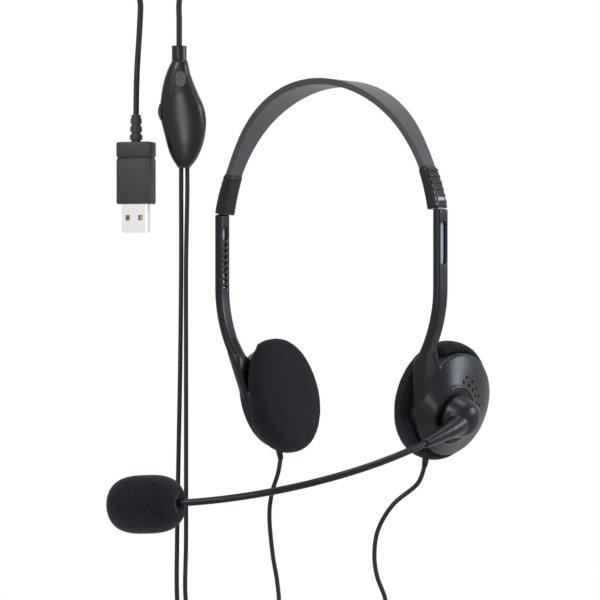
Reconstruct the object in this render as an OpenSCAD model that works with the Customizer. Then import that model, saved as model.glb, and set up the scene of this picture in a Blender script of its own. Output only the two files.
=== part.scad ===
// Office headset: a one-piece band, two sliding ear cups, a swinging microphone boom,
// an in-line control with a volume wheel and a mute knob, and a USB plug.
// X runs across the head (+X is the wearer's left), -Y is forward and Z is up.
// The origin is midway between the ear pads.

/* [Headband] */
// Height of the crown's outer face above the ear axis
crown_z = 143; // [136:1:150]
// Mid-surface radius of the crown
crown_r = 55.5; // [52:0.5:58]
// Thickness of the band
band_t = 2.8; // [2.2:0.1:3.4]
// Width of the band at the crown
band_crown_w = 21; // [18:0.5:25]
// Width of the band at its ends
band_end_w = 8.4; // [8:0.1:9]
// Distance of the band's plane in front of the ear axis
band_front = 24; // [22:0.5:26]

/* [Arms] */
// Distance of each arm from the middle of the head
arm_x = 61.3; // [60:0.1:62.5]
// Thickness of an arm
arm_t = 4; // [3.8:0.1:4.8]
// Width of an arm
arm_w = 7.6; // [7.4:0.1:9]
// Height of an arm's top end, pushed right in
arm_top_z = 84; // [80:0.5:88]
// Length of the arm's straight stretch
arm_straight = 34; // [32:0.5:38]
// Thickness of the steel tongue
tongue_t = 1; // [0.8:0.05:1.2]
// Width of the steel tongue
tongue_w = 4.6; // [4:0.1:5]
// Sliding clearance on each side of the tongue
tongue_gap = 0.1; // [0.05:0.01:0.15]
// Distance between two steps of the length adjustment
step_pitch = 2.8; // [2.4:0.1:2.9]
// Number of steps the arm can be drawn out
step_count = 8; // [6:1:8]

/* [Ear cups] */
// Distance of each pad's middle from the middle of the head
pad_x = 45; // [43:0.5:47]
// Diameter of an ear pad
pad_d = 55; // [52:0.5:60]
// Thickness of an ear pad
pad_t = 12.5; // [11:0.5:14]
// Radius of the cup shell's rim
rim_r = 23; // [22:0.25:24]
// Wall of the cup shell
shell_wall = 1.6; // [1.2:0.1:2]
// Depth of the cup shell's side wall
side_depth = 4.5; // [4:0.25:6]
// Height of the shell's dome above its side wall
dome_sag = 6; // [5:0.25:7]
// Radius of the round boss on the left shell
boss_r = 13; // [12:0.25:13.5]
// Diameter of a vent hole
vent_d = 1.4; // [1:0.1:1.6]
// Radius of the loudspeaker
driver_r = 19; // [16:0.5:20]

/* [Boom] */
// Diameter of the boom's pivot pin
pivot_d = 5; // [4:0.1:6]
// Running clearance round the pivot pin
pivot_gap = 0.05; // [0.02:0.01:0.1]
// Radius of the boom's hub
hub_r = 9.5; // [8:0.25:10.5]
// Diameter of the boom tube
boom_d = 3; // [2.6:0.1:3.2]
// Length of the boom's straight sleeve
boom_sleeve_len = 30; // [26:1:34]
// Bend radius of the boom tube
boom_bend_r = 107; // [98:1:112]
// Angle that the boom tube turns inward
boom_bend = 64; // [58:1:66]
// Diameter of the foam windscreen
screen_d = 25; // [22:0.5:27]
// Length of the foam windscreen
screen_len = 33; // [30:0.5:36]

/* [Control] */
// Height of the in-line control
control_h = 47.5; // [45:0.5:56]
// Depth of the in-line control
control_t = 11.5; // [11.5:0.25:13]
// Wall of the control's shells
control_wall = 1.3; // [1.1:0.1:1.5]
// Diameter of the volume wheel
wheel_d = 14; // [13:0.5:14.5]
// Thickness of the volume wheel
wheel_t = 2.6; // [2:0.1:2.8]
// Travel of the mute knob
mute_travel = 2.8; // [2:0.1:3]

/* [Plug and cords] */
// Width of the USB-A shell
usb_w = 12; // [12:0.1:12.2]
// Thickness of the USB-A shell
usb_t = 4.5; // [4.5:0.1:4.7]
// Length of the USB-A shell that shows
usb_len = 12.5; // [11.75:0.25:13]
// Diameter of the cord from the control to the plug
main_cord_d = 2.6; // [2.4:0.1:3]
// Diameter of the cord to each ear cup
ear_cord_d = 2.05; // [1.8:0.05:2.2]
// Mean radius of the coiled spare cord
coil_r = 15; // [14:0.5:15.5]
// Radius of the coil's bundle
bundle_r = 6; // [5.5:0.25:6.5]

/* [Hidden] */
$fn = 64;

plastic = "#1e2025";
band_grey = "#3a3c3d";
foam = "#17191c";
steel = "#b9bcc0";
cord_black = "#1f1f1f";

// The band is two arcs a side, the crown and a flatter shoulder that ends upright.
crown_angle = 55;
crown_cz = crown_z - band_t / 2 - crown_r;
side_r = (arm_x - crown_r * sin(crown_angle)) / (1 - sin(crown_angle));
side_cx = arm_x - side_r;
side_cz = crown_cz - (side_r - crown_r) * cos(crown_angle);
band_end_t = 4.6;
band_end_len = 18;
band_end_top = arm_top_z + band_end_len;
socket_h = 5;

// The arm's bend, from its straight stretch down to the cup's front edge.
arm_bend_r = 60;
arm_bend_z = arm_top_z - arm_straight;
arm_bend = 34;
arm_cut = 0.9;
channel_bottom = arm_bend_z - 3;
tongue_bottom = channel_bottom + 0.8;
travel = step_count * step_pitch;

// Ear cup, in its own frame: X points outward, the pad's middle is at the origin.
lean = 12;
toe_in = 6.5;
pad_in = -pad_t / 2;
pad_out = pad_t / 2;
rim_in = 2;
shoulder = rim_in + 2 + side_depth;
dome_top = shoulder + dome_sag;
dome_r = (rim_r * rim_r + dome_sag * dome_sag) / (2 * dome_sag);
baffle_t = 1.5;
boss_y = -7;
boss_z = -3;
boss_top = dome_top + 0.8;
exit_y = -7;
exit_x = 2.5;
grommet_r = 2.4;
grommet_end = pad_d / 2 + 1.5;
screw_angles = [35, 155, 215];
screw_ring = rim_r * 0.83;
screw_post_r = 2.6;
screw_r = 0.9;
screw_gap = 0.05;

// Boom, from the boss outward.
washer_t = 0.4;
hub_t = 1.8;
hub_x = boss_top + washer_t;
elbow_x = boss_top + 9;
boss_depth = 6.8;
retainer_t = 0.8;
pin_end = boss_top - boss_depth - 0.05;
elbow_r = 3.4;
boom_pitch = 18;
boom_tilt = -7.7;
housing_r = 4;
housing_len = 14;
screen_back = 7.5;

// The control and the plug hang side by side and turn to face forward and left.
hang_turn = 38;
plug_turn = -18;
control_at = [-44.3, -71.4, 130.4];
plug_at = [-61, -84, 87];
coil_at = [-52.6, -77.7, 213];
control_k = control_h / 47.5;
collar_h = 6.4;
collar_x = -1.8;
control_top = 20.2 * control_k;
control_bottom = -27.3 * control_k;
wheel_at = [-4.2, -2.4];
mute_at = [-0.9, 10.2];
recess_w = 5;
recess_h = 10.4;
knob_h = recess_h - mute_travel - 0.8;
control_screw_at = [[3.6, -12.5], [-4.6, -15]];
lead_x = [-0.9, 1.8];

// Route of the left ear cord, from its grommet down, across and up to the control.
left_route = [[40.7, -6.6, -28.9], [38, -8.5, -37], [29, -14, -46], [23, -17, -57], [21.5, -18, -68],
    [23, -18, -78], [26, -16, -88], [27, -16, -98], [20, -22, -106], [2, -36, -110],
    [-20, -54, -109], [-38, -68, -103], [-43, -71, -90], [-43, -71, -60], [-43, -71, -20],
    [-43, -71, 20], [-43, -71, 60], [-42.9, -70.3, 90], [-42.9, -70.3, 103]];
// Route of the right ear cord, the same way.
right_route = [[-40.7, -6.6, -28.9], [-42, -7, -36], [-45.5, -7, -45], [-47, -7, -56], [-45.5, -6.5, -73],
    [-43, -6, -87], [-41, -8, -98], [-40, -18, -106], [-41, -36, -110], [-44, -56, -108],
    [-46, -70, -100], [-46.5, -73, -88], [-46.5, -73, -60], [-46, -72.5, -20],
    [-45.5, -72, 20], [-45, -72, 60], [-45, -72, 90], [-45, -72, 103]];
// Route of the main cord from the control up to the coil.
main_route = [[-45.7, -72.5, 157], [-45.7, -72.5, 168], [-45.6, -72.4, 178], [-43.2, -70.5, 188],
    [-39.2, -67.3, 197], [-37.7, -66.1, 205]];
// Route of the main cord from the coil down to the plug.
plug_route = [[-67.9, -86.7, 205], [-67, -86.4, 197], [-63, -84.9, 188], [-59.7, -83.1, 178],
    [-59.6, -83, 168], [-60.7, -83.8, 145], [-61, -84, 127]];

// ---- helpers ----

// A rounded rectangle about the origin.
module rounded(w, h, r) {
    square([w - 2 * r, h], center = true);
    square([w, h - 2 * r], center = true);
    for (x = [-1, 1], y = [-1, 1])
        translate([x * (w / 2 - r), y * (h / 2 - r)]) circle(r, $fn = 24);
}

// A rectangle about the origin with its corners cut off.
module chamfered(w, h, c) {
    polygon([[w / 2 - c, h / 2], [c - w / 2, h / 2], [-w / 2, h / 2 - c], [-w / 2, c - h / 2],
        [c - w / 2, -h / 2], [w / 2 - c, -h / 2], [w / 2, c - h / 2], [w / 2, h / 2 - c]]);
}

// A strip of the given section along an arc in the XZ plane.
// Angles run from +X toward +Z, t is radial and w lies along Y.
module arc_strip(cx, cz, r, from, to, t, w, cut) {
    translate([cx, -band_front, cz]) rotate([90, 0, 0]) rotate([0, 0, from])
        rotate_extrude(angle = to - from, $fn = 96) translate([r, 0]) chamfered(t, w, cut);
}

// One side of the head: s is 1 on the left and -1 on the right.
module side(s) {
    mirror([s < 0 ? 1 : 0, 0, 0]) children();
}

// The frame of one ear cup.
module cup(s) {
    side(s) translate([pad_x, 0, 0]) rotate([0, lean, -toe_in]) children();
}

// A lathed shape about the cup's outward axis; its outline is (radius, outward).
module lathe() {
    rotate([0, 90, 0]) rotate_extrude($fn = 96) children();
}

// A cylinder along the cup's outward axis.
module post(x, y, z, h, r) {
    translate([x, y, z]) rotate([0, 90, 0]) cylinder(h = h, r = r, $fn = r < 3 ? 24 : 64);
}

// A slab along the front-to-back direction of the control, from y0 to y1.
module slab(y0, y1) {
    translate([0, y1, 0]) rotate([90, 0, 0]) linear_extrude(y1 - y0) children();
}

module hang(at, turn) {
    translate(at) rotate([0, 0, turn]) children();
}

// One point of a smooth curve between p1 and p2.
function spline(p0, p1, p2, p3, t) =
    0.5 * (2 * p1 + (p2 - p0) * t + (2 * p0 - 5 * p1 + 4 * p2 - p3) * t * t
        + (3 * p1 - p0 - 3 * p2 + p3) * t * t * t);

function at(p, i) = p[max(0, min(len(p) - 1, i))];

// An open route, with n rings between each two of its points.
function route(p, n) = concat(
    [for (i = [0 : len(p) - 2], k = [0 : n - 1]) spline(at(p, i - 1), p[i], p[i + 1], at(p, i + 2), k / n)],
    [p[len(p) - 1]]);

// A closed outline through the points p, with n points to each.
function closed(p, n) = [for (i = [0 : len(p) - 1], k = [0 : n - 1])
    let (m = len(p))
    spline(p[(i + m - 1) % m], p[i], p[(i + 1) % m], p[(i + 2) % m], k / n)];

// The outline p drawn in by the distance d.
function inset(p, d) = [for (i = [0 : len(p) - 1])
    let (m = len(p), v = p[(i + 1) % m] - p[(i + m - 1) % m])
    p[i] + d / norm(v) * [v[1], -v[0]]];

function unit(v) = v / norm(v);

// A tube of eight sides along the points q; the up direction is carried from ring to ring.
module tube(q, d) {
    sides = 8;
    last = len(q) - 1;
    dirs = [for (i = [0 : last]) unit(q[min(last, i + 1)] - q[max(0, i - 1)])];
    across = unit(cross(dirs[0], [0.3, 1, 0.1]));
    sideways = [for (i = 0, v = across; i <= last;
        i = i + 1, v = i > last ? v : unit(v - (v * dirs[i]) * dirs[i])) v];
    points = [for (i = [0 : last], k = [0 : sides - 1])
        let (u = sideways[i], w = cross(dirs[i], u), a = 360 * k / sides)
        q[i] + d / 2 * (cos(a) * u + sin(a) * w)];
    walls = [for (i = [0 : last - 1], k = [0 : sides - 1])
        let (n = (k + 1) % sides)
        [i * sides + k, (i + 1) * sides + k, (i + 1) * sides + n, i * sides + n]];
    polyhedron(points, concat(walls,
        [[for (k = [0 : sides - 1]) k]],
        [[for (k = [sides - 1 : -1 : 0]) last * sides + k]]));
}

// ---- headband ----

// Half the band's width at the height z: wide at the crown and narrow at the ends.
function band_half(z) = band_end_w / 2 + (band_crown_w - band_end_w) / 2
    * pow(max(0, min(1, (z - band_end_top) / (crown_z - band_end_top))), 1.6);

module headband() {
    steps = 14;
    z_end = arm_top_z + socket_h + 1;
    color(band_grey) intersection() {
        union() {
            translate([0, -band_front, crown_cz]) rotate([90, 0, 0]) rotate([0, 0, 90 - crown_angle])
                rotate_extrude(angle = 2 * crown_angle, $fn = 128)
                translate([crown_r - band_t / 2, -15]) square([band_t, 30]);
            for (s = [-1, 1]) side(s)
                translate([side_cx, -band_front, side_cz]) rotate([90, 0, 0])
                rotate([0, 0, asin((z_end - side_cz) / side_r)])
                rotate_extrude(angle = 90 - crown_angle - asin((z_end - side_cz) / side_r), $fn = 128)
                translate([side_r - band_t / 2, -15]) square([band_t, 30]);
        }
        translate([-100, -band_front, 0]) rotate([90, 0, 90]) linear_extrude(200)
            polygon(concat([[-band_end_w / 2, 60], [band_end_w / 2, 60]],
                [for (i = [0 : steps]) let (z = band_end_top + i / steps * (crown_z - band_end_top))
                    [band_half(z), z]],
                [[band_crown_w / 2, crown_z + 5], [-band_crown_w / 2, crown_z + 5]],
                [for (i = [steps : -1 : 0]) let (z = band_end_top + i / steps * (crown_z - band_end_top))
                    [-band_half(z), z]]));
    }
}

// The moulded end of the band, with a socket for the tongue and six grip ribs.
module band_end(s) {
    z0 = arm_top_z;
    ribs = 6;
    a0 = asin((z0 + socket_h - side_cz) / side_r);
    a1 = asin((band_end_top - side_cz) / side_r);
    color(plastic) side(s) difference() {
        union() {
            arc_strip(side_cx, side_cz, side_r, a0, a1, band_end_t, band_end_w + 1, 0.8);
            translate([arm_x - 0.5, -band_front, z0]) linear_extrude(socket_h + 1.5)
                chamfered(band_end_t + 0.2, band_end_w + 0.6, 0.8);
            for (i = [0 : ribs - 1])
                translate([side_cx, -band_front, side_cz])
                rotate([0, -(a0 + (i + 0.4) * (a1 - a0) / ribs), 0])
                translate([side_r + band_end_t / 2 - 0.2, -band_end_w / 2, -0.3])
                cube([0.7, band_end_w, 0.6]);
        }
        translate([arm_x - tongue_t / 2, -band_front - tongue_w / 2, z0 - 1])
            cube([tongue_t, tongue_w, socket_h + 1]);
        // room for the band itself
        translate([side_cx, -band_front, side_cz]) rotate([90, 0, 0])
            rotate([0, 0, asin((z0 + socket_h + 1 - side_cz) / side_r)])
            rotate_extrude(angle = 20, $fn = 128)
            translate([side_r - band_t / 2, -band_end_w / 2]) square([band_t, band_end_w]);
    }
}

module tongue(s) {
    color(steel) side(s)
        translate([arm_x - tongue_t / 2, -band_front - tongue_w / 2, tongue_bottom])
        cube([tongue_t, tongue_w, arm_top_z + socket_h - tongue_bottom]);
}

// A leaf on the tongue's inner face, whose bump runs in the arm's groove.
leaf_t = 0.25;
leaf_w = 1.6;
groove_depth = 0.8;
module detent_spring(s) {
    color(steel) side(s) translate([arm_x - tongue_t / 2, -band_front, tongue_bottom + 1]) {
        translate([-leaf_t, -leaf_w / 2, 0]) cube([leaf_t, leaf_w, 9]);
        translate([-leaf_t - 0.1, 0, 1.4]) rotate([90, 0, 0])
            cylinder(h = leaf_w, r = 0.35, center = true, $fn = 24);
    }
}

// ---- ear cups ----

module arm() {
    pitch0 = tongue_bottom + 2.4;
    difference() {
        union() {
            translate([arm_x, -band_front, arm_bend_z]) linear_extrude(arm_straight)
                chamfered(arm_t, arm_w, arm_cut);
            arc_strip(arm_x - arm_bend_r, arm_bend_z, arm_bend_r, -arm_bend, 0, arm_t, arm_w, arm_cut);
        }
        translate([arm_x - tongue_t / 2 - tongue_gap, -band_front - tongue_w / 2 - tongue_gap, channel_bottom])
            cube([tongue_t + 2 * tongue_gap, tongue_w + 2 * tongue_gap, arm_top_z]);
        // groove for the detent leaf
        translate([arm_x - tongue_t / 2 - groove_depth, -band_front - leaf_w / 2 - 0.2, channel_bottom])
            cube([groove_depth, leaf_w + 0.4, arm_top_z]);
        // outer window
        translate([arm_x, -band_front - 1.7, arm_top_z - 24]) cube([arm_t, 3.4, 18]);
        // inner window
        translate([arm_x - arm_t, -band_front - 1.3, arm_top_z - 11.5]) cube([arm_t, 2.6, 5]);
        // step notches
        for (i = [0 : step_count])
            translate([arm_x - arm_t, -band_front - 1.3, pitch0 + i * step_pitch - 0.6])
                cube([arm_t, 2.6, 1.2]);
    }
}

// A domed disc: the shell's outer form, or its hollow when drawn in by a wall.
module dome(wall) {
    intersection() {
        translate([dome_top - dome_r, 0, 0]) sphere(dome_r - wall, $fn = 128);
        post(rim_in - (wall > 0 ? 1 : 0), 0, 0, 30, rim_r - wall);
    }
}

// The two blends that carry the arm into the shell: along its front edge and over its shoulder.
module arm_root(s) {
    low_z = arm_bend_z - arm_bend_r * sin(arm_bend);
    low_x = arm_x - arm_bend_r * (1 - cos(arm_bend));
    ball = arm_t / 2 + 0.25;
    hull() {
        side(s) for (y = [-1, 1])
            translate([low_x, -band_front + y * (arm_w / 2 - ball + 0.25), low_z + 1]) sphere(ball, $fn = 20);
        cup(s) translate([shoulder - 3.2, -rim_r * 0.93, -2]) sphere(1.7, $fn = 20);
        cup(s) translate([shoulder - 2.6, -rim_r * 0.78, rim_r * 0.52]) sphere(1.6, $fn = 20);
    }
    hull() {
        side(s) translate([low_x + 4.4, -band_front + 1, low_z + 9]) sphere(ball, $fn = 20);
        side(s) translate([low_x + 0.4, -band_front + 1, low_z + 1.5]) sphere(ball - 0.1, $fn = 20);
        cup(s) translate([shoulder - 1.4, -rim_r * 0.6, rim_r * 0.66]) sphere(1.6, $fn = 20);
    }
}

// The posts inside the shell that the baffle's screws bite into.
module screw_posts() {
    for (a = screw_angles)
        post(rim_in + baffle_t, screw_ring * cos(a), screw_ring * sin(a), 30, screw_post_r);
}

// The hollow inside a shell, round its posts and, on the left, the boom's boss.
module cup_hollow(s) {
    cup(s) difference() {
        dome(shell_wall);
        screw_posts();
        if (s > 0)
            post(boss_top - boss_depth, boss_y, boss_z, 30, boss_r - shell_wall);
    }
}

module cup_shell(s) {
    color(plastic) difference() {
        union() {
            cup(s) dome(0);
            side(s) arm();
            arm_root(s);
            if (s > 0)
                cup(s) post(shoulder, boss_y, boss_z, boss_top - shoulder, boss_r);
        }
        cup_hollow(s);
        cup(s) {
            // vents behind and above the boss
            for (i = [0 : 5])
                post(shoulder - 3, boss_y + 15 * cos(5 + 14 * i), boss_z + 15 * sin(5 + 14 * i), 30, vent_d / 2);
            for (i = [0 : 4])
                post(shoulder - 3, boss_y + 17.8 * cos(12 + 14 * i), boss_z + 17.8 * sin(12 + 14 * i), 30,
                    vent_d / 2);
            for (a = screw_angles)
                post(0, screw_ring * cos(a), screw_ring * sin(a), rim_in + baffle_t + 5, screw_r + screw_gap);
            // cord grommet's slot in the rim
            translate([exit_x, exit_y, -grommet_end]) cylinder(h = 12, r = grommet_r);
            if (s > 0)
                post(0, boss_y, boss_z, 40, pivot_d / 2 + pivot_gap);
        }
    }
}

module baffle(s) {
    color(plastic) cup(s) difference() {
        post(rim_in, 0, 0, baffle_t, rim_r - shell_wall - 0.05);
        for (r = [0, 4, 8, 12], i = [0 : max(0, r * 2 - 1)])
            post(0, r * cos(i * 180 / max(1, r)), r * sin(i * 180 / max(1, r)), 6, 0.7);
        for (a = screw_angles)
            post(0, screw_ring * cos(a), screw_ring * sin(a), 10, 1);
        translate([exit_x, exit_y, -grommet_end]) cylinder(h = 12, r = grommet_r);
    }
}

module driver_frame(s) {
    x0 = rim_in + baffle_t;
    color("#2c2e31") cup(s) difference() {
        union() {
            post(x0, 0, 0, 1.6, min(driver_r, screw_ring - screw_post_r - 0.1));
            post(x0 + 1.6, 0, 0, 1.2, driver_r * 0.55);
        }
        post(x0 - 1, 0, 0, 2, driver_r * 0.7);
        post(x0 - 1, 0, 0, 6, driver_r * 0.42);
    }
}

module magnet(s) {
    color(steel) cup(s) post(rim_in + baffle_t + 1.2, 0, 0, 2, driver_r * 0.42);
}

module diaphragm(s) {
    color("#8a8d90") cup(s) post(rim_in + baffle_t + 0.4, 0, 0, 0.3, driver_r * 0.7);
}

module damping_disc(s) {
    color("#0f1012") cup(s) post(rim_in - 0.4, 0, 0, 0.4, driver_r * 0.8);
}

module baffle_screws(s) {
    color(steel) cup(s) for (a = screw_angles) {
        post(rim_in, screw_ring * cos(a), screw_ring * sin(a), baffle_t + 4.5, screw_r);
        post(rim_in - 0.7, screw_ring * cos(a), screw_ring * sin(a), 0.7, 1.7);
    }
}

// Foam cushion: a domed disc with a pocket for the baffle and a lip round the rim.
module ear_pad(s) {
    r = pad_d / 2;
    edge = 4.5;
    color(foam) cup(s) difference() {
        lathe() {
            translate([0, pad_in]) square([r - edge, pad_t]);
            translate([0, pad_in + edge]) square([r, pad_t - 2 * edge]);
            translate([r - edge, pad_in + edge]) circle(edge, $fn = 48);
            translate([r - edge, pad_out - edge]) circle(edge, $fn = 48);
        }
        post(rim_in - 0.75, 0, 0, 20, rim_r);
        translate([exit_x, exit_y, -grommet_end - 5]) cylinder(h = 20, r = grommet_r + 0.1);
        cup_arm_room();
    }
}

// Room in the pad's lip where the arm's root passes over it.
module cup_arm_room() {
    translate([pad_out - 5.4, -rim_r - 12, -rim_r * 0.3]) cube([12, 24, 40]);
}

module cord_grommet(s) {
    color(cord_black) cup(s) translate([exit_x, exit_y, -grommet_end]) difference() {
        cylinder(h = grommet_end - rim_r + 3, r = grommet_r);
        translate([0, 0, -1]) cylinder(h = 30, r = ear_cord_d / 2);
    }
}

// ---- boom ----

// The frame of the boom at its elbow: -Y runs along the sleeve.
module boom_frame() {
    cup(1) translate([elbow_x, boss_y, boss_z]) rotate([boom_pitch, 0, 0])
        rotate([0, boom_tilt, 0]) children();
}

// The frame at the microphone end of the boom.
module mic_frame() {
    boom_frame() translate([-boom_bend_r, -boom_sleeve_len, 0]) rotate([0, 0, -boom_bend])
        translate([boom_bend_r, 0, 0]) rotate([90, 0, 0]) children();
}

module boom_hub() {
    color(plastic) {
        difference() {
            cup(1) {
                post(hub_x, boss_y, boss_z, hub_t, hub_r);
                post(pin_end, boss_y, boss_z, hub_x - pin_end + 0.1, pivot_d / 2);
                post(hub_x + hub_t - 0.1, boss_y, boss_z, elbow_x - hub_x - hub_t + 0.1, elbow_r);
                translate([elbow_x, boss_y, boss_z]) sphere(elbow_r);
            }
            boom_frame() rotate([90, 0, 0]) cylinder(h = 20, r = boom_d / 2 + 0.3);
            cup(1) post(pin_end - 1, boss_y, boss_z, 5, 0.9);
        }
    }
}

module boom_washer() {
    color(steel) cup(1) difference() {
        post(boss_top, boss_y, boss_z, washer_t, 6.5);
        post(boss_top - 1, boss_y, boss_z, 4, pivot_d / 2 + pivot_gap);
    }
}

// Washer and screw that hold the pivot pin inside the cup.
module boom_retainer() {
    color(steel) cup(1) {
        post(pin_end - retainer_t, boss_y, boss_z, retainer_t, 4.2);
        post(pin_end - retainer_t, boss_y, boss_z, retainer_t + 3.8, 0.9);
        post(pin_end - retainer_t - 0.7, boss_y, boss_z, 0.7, 1.8);
    }
}

module boom_sleeve() {
    color(plastic) boom_frame() rotate([90, 0, 0]) difference() {
        cylinder(h = boom_sleeve_len, r = boom_d / 2 + 0.3);
        translate([0, 0, boom_sleeve_len - 12]) cylinder(h = 20, r = boom_d / 2);
    }
}

module boom_tube() {
    color(cord_black) {
        boom_frame() translate([0, -boom_sleeve_len + 12, 0]) rotate([90, 0, 0])
            cylinder(h = 12, r = boom_d / 2);
        boom_frame() translate([-boom_bend_r, -boom_sleeve_len, 0]) rotate([0, 0, -boom_bend])
            rotate_extrude(angle = boom_bend, $fn = 180) translate([boom_bend_r, 0])
            circle(boom_d / 2, $fn = 32);
    }
}

module mic_housing() {
    color(plastic) mic_frame() difference() {
        cylinder(h = housing_len, r = housing_r);
        translate([0, 0, housing_len - 8]) cylinder(h = 20, r = housing_r - 0.9);
        for (x = [-1, 1]) translate([0, x * 1.6, housing_len - 3.5])
            rotate([0, 90, 0]) cylinder(h = 20, r = 0.7, center = true);
    }
}

module mic_capsule() {
    color(steel) mic_frame() translate([0, 0, housing_len - 7.9]) cylinder(h = 2.7, r = housing_r - 0.95);
}

module mic_windscreen() {
    r = screen_d / 2;
    round_r = 7;
    color(foam) mic_frame() difference() {
        translate([0, 0, -screen_back]) rotate_extrude($fn = 96) {
            square([r - round_r, screen_len]);
            translate([0, round_r]) square([r, screen_len - 2 * round_r]);
            translate([r - round_r, round_r]) intersection() {
                circle(round_r, $fn = 64);
                translate([-(r - round_r), -20]) square([40, 40]);
            }
            translate([r - round_r, screen_len - round_r]) intersection() {
                circle(round_r, $fn = 64);
                translate([-(r - round_r), -20]) square([40, 40]);
            }
        }
        cylinder(h = housing_len + 0.05, r = housing_r + 0.05);
        translate([0, 0, -20]) cylinder(h = 21, r = boom_d / 2 + 0.25);
    }
}

// ---- in-line control ----

// The control's outline, clockwise from the top left.
control_points = [[-5.2, 20.2], [2, 20.2], [3.3, 14], [6.4, 6], [9.2, -0.5], [10.2, -7.5], [9, -16],
    [6.2, -23], [3, -27.3], [-2.6, -27.3], [-6, -21], [-8.2, -13], [-10.1, -4.5], [-9.9, 4], [-8.2, 12.5]];
function control_outline(d) = inset(closed([for (p = control_points) [p[0], p[1] * control_k]], 3), d);

module wheel_slot(extra) {
    slab(-wheel_t / 2 - extra, wheel_t / 2 + extra) translate(wheel_at) circle(wheel_d / 2 + extra);
}

// What lies above the flat seat of the collar.
module above_collar_seat() {
    translate([-20, -20, control_top]) cube(40);
}

module control_front() {
    y0 = -control_t / 2;
    color("#2e2e2e") hang(control_at, hang_turn) {
        difference() {
            union() {
                slab(y0 + 1, 0) polygon(control_outline(0));
                slab(y0, y0 + 1) polygon(control_outline(0.9));
            }
            slab(y0 + control_wall + 0.4, 1) polygon(control_outline(control_wall));
            wheel_slot(0.3);
            slab(y0 - 1, y0 + 0.9) translate(mute_at) rounded(recess_w, recess_h, recess_w / 2 - 0.05);
            slab(y0 - 1, 0) translate(mute_at) rounded(1.8, 2 + mute_travel + 2.2, 0.85);
            for (x = lead_x) translate([x, 0, control_bottom - 2]) cylinder(h = 8, r = ear_cord_d / 2);
            translate([collar_x, 0, control_top - 4]) cylinder(h = 10, r = main_cord_d / 2 + 0.4);
            above_collar_seat();
        }
        intersection() {
            slab(y0 + 1, 2.1) polygon(control_outline(0.5));
            for (p = control_screw_at) difference() {
                slab(y0 + 1, 2.1) translate(p) circle(1.7);
                slab(y0 + 2.5, 3) translate(p) circle(0.8);
            }
        }
    }
}

module control_back() {
    y1 = control_t / 2;
    color("#2a2a2a") hang(control_at, hang_turn) difference() {
        union() {
            slab(0, y1 - 1) polygon(control_outline(0));
            slab(y1 - 1, y1) polygon(control_outline(0.9));
        }
        slab(-1, y1 - control_wall - 0.4) polygon(control_outline(control_wall));
        wheel_slot(0.3);
        for (x = lead_x) translate([x, 0, control_bottom - 2]) cylinder(h = 8, r = ear_cord_d / 2);
        translate([collar_x, 0, control_top - 4]) cylinder(h = 10, r = main_cord_d / 2 + 0.4);
        above_collar_seat();
        for (p = control_screw_at) {
            slab(0, y1 + 1) translate(p) circle(0.8);
            slab(y1 - 0.8, y1 + 1) translate(p) circle(1.5);
        }
    }
}

module control_board() {
    color("#1f5c35") hang(control_at, hang_turn) difference() {
        union() {
            slab(2.1, 2.9) translate([-4.4, 4]) square([5, 13 * control_k]);
            slab(2.1, 2.9) translate([-5.2, -16.5]) square([11, 20.5]);
        }
        for (p = control_screw_at) slab(0, 5) translate(p) circle(1);
    }
}

module control_screws() {
    y1 = control_t / 2;
    color(steel) hang(control_at, hang_turn) for (p = control_screw_at) {
        slab(-2, y1 - 0.8) translate(p) circle(0.8);
        slab(y1 - 0.8, y1 - 0.2) translate(p) circle(1.5);
    }
}

module control_collar() {
    color("#2e2e2e") hang(control_at, hang_turn) difference() {
        union() {
            translate([collar_x, 0, control_top]) cylinder(h = collar_h, r = 3.3);
            translate([collar_x, 0, control_top - 2.5]) cylinder(h = 3, r = main_cord_d / 2 + 0.4);
        }
        translate([collar_x, 0, control_top - 5]) cylinder(h = 20, r = main_cord_d / 2);
    }
}

module volume_pot() {
    color("#44484c") hang(control_at, hang_turn) {
        slab(1.6, 2.1) translate(wheel_at) circle(3.6);
        slab(-2, 1.7) translate(wheel_at) circle(1);
    }
}

module volume_wheel() {
    teeth = 36;
    color("#1b1b1b") hang(control_at, hang_turn) slab(-wheel_t / 2, wheel_t / 2) difference() {
        translate(wheel_at) circle(wheel_d / 2);
        translate(wheel_at) circle(1 + 0.05);
        for (i = [0 : teeth - 1]) translate(wheel_at) rotate(i * 360 / teeth)
            translate([wheel_d / 2 + 0.1, 0]) circle(0.35, $fn = 4);
    }
}

module mute_switch() {
    color("#44484c") hang(control_at, hang_turn) difference() {
        slab(-2.2, 2.1) translate(mute_at) square([3.6, 8], center = true);
        slab(-3, -1) translate(mute_at) square([1.6, 6.6], center = true);
    }
}

// The mute knob at the top of its travel, with five grip dimples.
module mute_knob() {
    y0 = -control_t / 2;
    top = mute_at + [0, mute_travel / 2];
    color("#3a3a3a") hang(control_at, hang_turn) difference() {
        union() {
            slab(y0 - 0.3, y0 + 0.8) translate(top) rounded(recess_w - 0.6, knob_h, recess_w / 2 - 0.4);
            slab(y0 + 0.7, -1.4) translate(top) square([1.4, 1.8], center = true);
        }
        for (p = [[0, 0], [0, 1.6], [0, -1.6], [1.3, 0], [-1.3, 0]])
            slab(y0 - 1, y0 + 0.1) translate(top + p) circle(0.35);
    }
}

// ---- cords and plug ----

module cord_coil() {
    color(cord_black) hang(coil_at, hang_turn) rotate([90, 0, 0]) rotate_extrude($fn = 96)
        translate([coil_r, 0]) circle(bundle_r, $fn = 48);
}

module cord_tie() {
    tie_w = 26;
    color("#111111") hang(coil_at, hang_turn) rotate([90, 0, 0]) rotate([0, 0, 90 - tie_w / 2])
        rotate_extrude(angle = tie_w, $fn = 96) translate([coil_r, 0]) difference() {
            circle(bundle_r + 0.8, $fn = 48);
            circle(bundle_r, $fn = 48);
        }
}

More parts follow.
